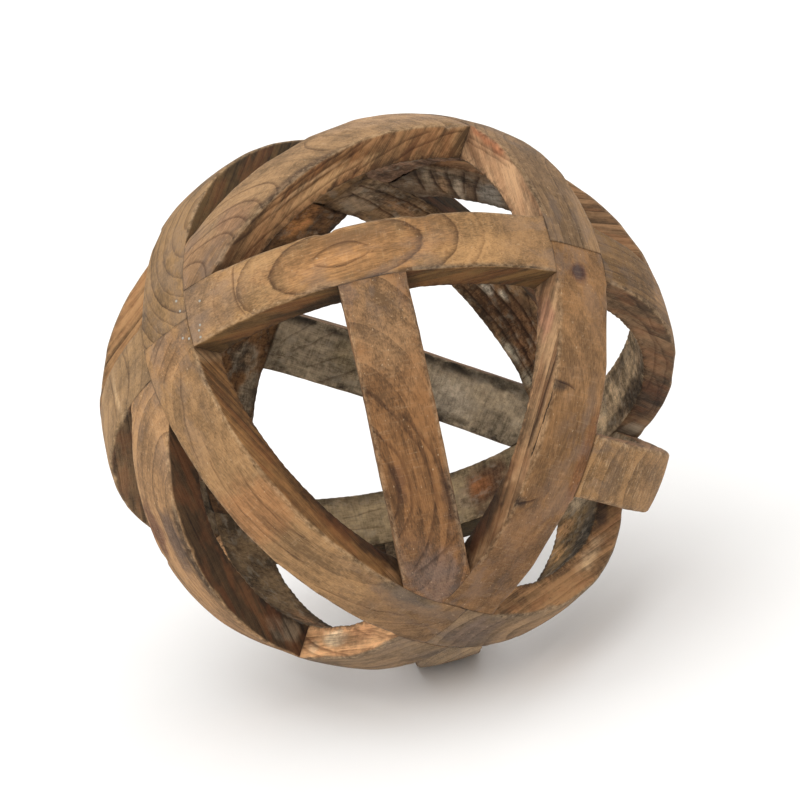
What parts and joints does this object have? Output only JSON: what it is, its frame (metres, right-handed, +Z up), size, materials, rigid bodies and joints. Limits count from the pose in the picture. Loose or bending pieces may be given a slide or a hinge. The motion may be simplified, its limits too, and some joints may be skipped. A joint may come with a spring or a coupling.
{
  "type": "decorative sphere",
  "caption": "Openwork decorative ball of curved reclaimed-wood bars: crossing hoops with a diagonal strut across each three-cornered opening.",
  "frame": {"origin": "middle of the small flat spot that the ball rests on", "axes": "+Z up, away from the surface it lies on; -Y towards the viewer of the ball as it usually lies; +X to that viewer's right"},
  "size_m": [0.255, 0.2465, 0.2466],
  "materials": {
    "teak_honey": "sanded old teak, light honey brown, matt",
    "teak_brown": "sanded old teak, mid brown, matt",
    "teak_grey": "weathered teak, greyish brown, matt",
    "teak_dark": "rough-sawn old teak, dark brown, matt"
  },
  "bodies": {
    "root": {"lower_left_front_bar": "teak_honey", "upper_left_back_bar": "teak_brown", "upper_right_back_bar": "teak_dark", "lower_right_back_bar": "teak_dark", "right_front_bar": "teak_brown", "lower_left_back_bar": "teak_brown", "far_left_back_bar": "teak_brown", "top_right_bar": "teak_grey", "upper_front_bar": "teak_honey", "right_side_bar": "teak_grey", "low_back_bar": "teak_dark", "left_side_bar": "teak_brown", "front_strut": "teak_brown", "top_strut": "teak_honey", "lower_left_strut": "teak_honey", "left_side_strut": "teak_brown", "upper_right_strut": "teak_dark", "right_side_strut": "teak_brown", "bottom_strut": "teak_grey", "back_strut": "teak_grey"}
  },
  "joints": []
}
